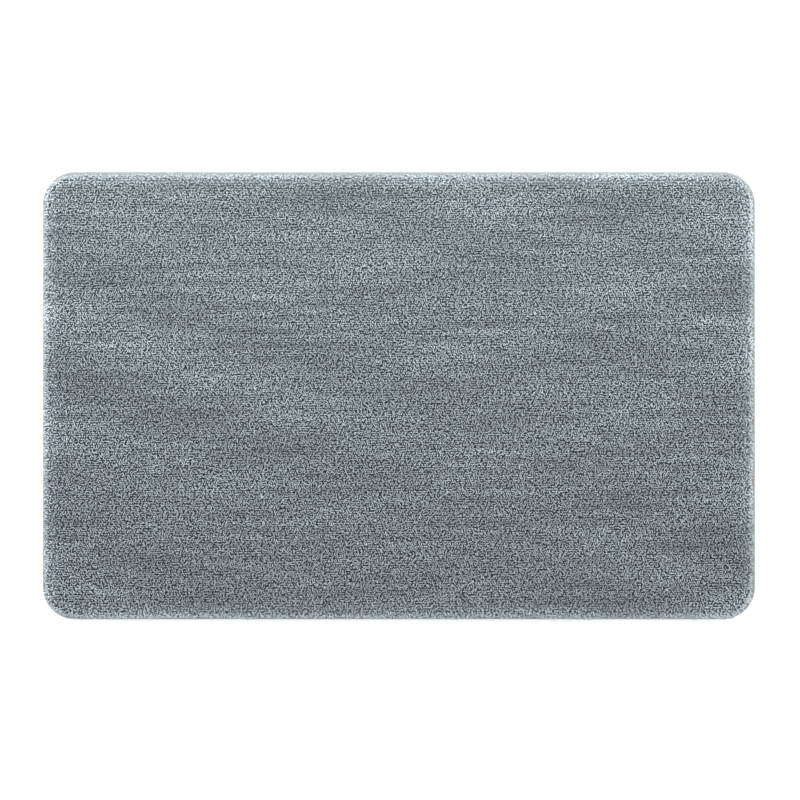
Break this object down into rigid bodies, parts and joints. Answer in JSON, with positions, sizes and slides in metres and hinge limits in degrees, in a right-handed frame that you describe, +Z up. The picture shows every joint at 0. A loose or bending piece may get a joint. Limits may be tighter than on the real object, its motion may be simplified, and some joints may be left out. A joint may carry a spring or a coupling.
{
  "type": "bath mat",
  "caption": "Rectangular tufted microfibre bath mat with rounded corners, a deep cut pile, an anti-slip rubber back and an overlocked thread edge.",
  "frame": {"origin": "on the floor under the middle of the mat", "axes": "+X along the mat's length, +Y across its width towards the edge that the pile leans away from, +Z up out of the pile"},
  "size_m": [0.8, 0.503, 0.018],
  "materials": {
    "anti_slip_rubber": "matt pale grey thermoplastic rubber with small grip dots",
    "latex": "off-white chalk-filled latex, brushed on and cured",
    "backing_cloth": "undyed plain-woven polypropylene cloth",
    "pile_yarn": "blue-grey microfibre polyester, cut pile with a soft sheen",
    "overlock_thread": "light grey spun polyester thread"
  },
  "bodies": {
    "root": {"anti_slip_backing": "anti_slip_rubber", "latex_coat": "latex", "primary_backing": "backing_cloth", "pile": "pile_yarn", "overlock_lower_looper_thread": "overlock_thread", "overlock_upper_looper_thread": "overlock_thread", "overlock_needle_thread": "overlock_thread"}
  },
  "joints": []
}
